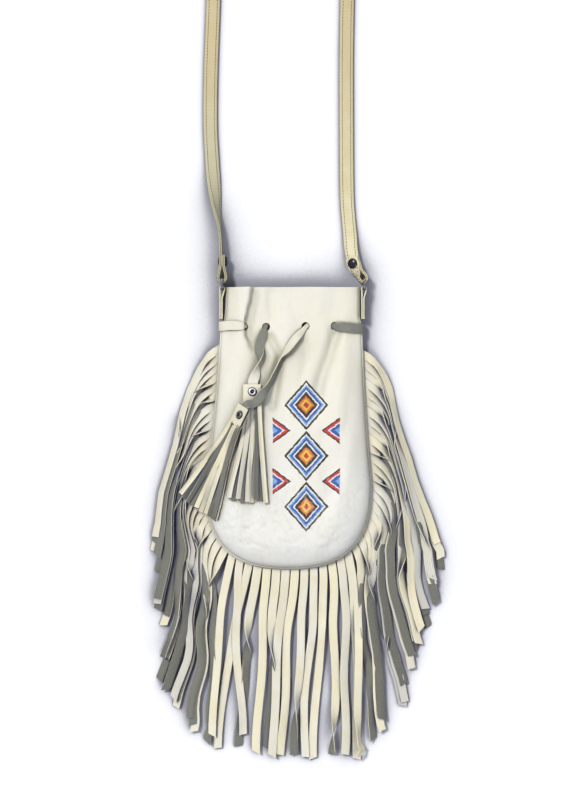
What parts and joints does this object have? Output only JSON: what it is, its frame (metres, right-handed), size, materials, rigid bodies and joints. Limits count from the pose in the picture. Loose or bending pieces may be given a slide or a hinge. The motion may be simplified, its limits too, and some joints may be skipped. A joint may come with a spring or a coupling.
{
  "type": "drawstring shoulder pouch",
  "caption": "Soft leather drawstring shoulder pouch with a long slit fringe sewn round its seam, tasselled lace cord and a flat strap on metal rings.",
  "frame": {"origin": "on the floor under the middle of the pouch's mouth, the bag lying on its back panel", "axes": "+X to the right of the bag as seen from its front, +Y from the bottom of the pouch to its mouth and the strap, +Z out of the front panel, up from the floor"},
  "size_m": [0.292, 0.9828, 0.0431],
  "materials": {
    "panel_leather": "soft, finely grained, cream white",
    "fringe_leather": "soft split leather, cream face and grey-olive flesh side",
    "tassel_leather": "soft split leather, cream face and grey flesh side",
    "lace_leather": "flat cut lace, cream face and grey flesh side",
    "strap_leather": "smooth, yellowish cream, stitched along both edges",
    "strap_lining_leather": "smooth cream lining",
    "tab_leather": "smooth cream",
    "rivet_metal": "polished black-nickel",
    "ring_metal": "polished gunmetal"
  },
  "bodies": {
    "bag": {"front_panel": "panel_leather", "back_panel": "panel_leather", "fringe_left": "fringe_leather", "fringe_bottom": "fringe_leather", "fringe_right": "fringe_leather", "tassel_left": "tassel_leather", "tassel_right": "tassel_leather", "tassel_rivet_left": "rivet_metal", "tassel_rivet_right": "rivet_metal", "drawstring": "lace_leather", "tab_left": "tab_leather", "tab_right": "tab_leather"},
    "left_ring": {"ring_left": "ring_metal"},
    "right_ring": {"ring_right": "ring_metal"},
    "strap": {"strap_face": "strap_leather", "strap_lining": "strap_lining_leather", "strap_rivet_right": "rivet_metal", "strap_rivet_left": "rivet_metal"}
  },
  "joints": [
    {"name": "ring_left_swing", "type": "hinge", "parent": "bag", "child": "left_ring", "pos_m": [-0.0694, -0.0016, 0.01], "axis": [0, 0, 1], "range_deg": [-45, 45]},
    {"name": "strap_swing", "type": "hinge", "parent": "left_ring", "child": "strap", "pos_m": [-0.0694, 0.0084, 0.01], "axis": [0, 0, 1], "range_deg": [-45, 45]},
    {"name": "ring_right_swing", "type": "hinge", "parent": "bag", "child": "right_ring", "pos_m": [0.0714, -0.0016, 0.01], "axis": [0, 0, 1], "range_deg": [-45, 45]}
  ],
  "couplings": [
    {"joint": "ring_left_swing", "follows": "strap_swing", "ratio": -1},
    {"joint": "ring_right_swing", "follows": "strap_swing", "ratio": -1}
  ]
}
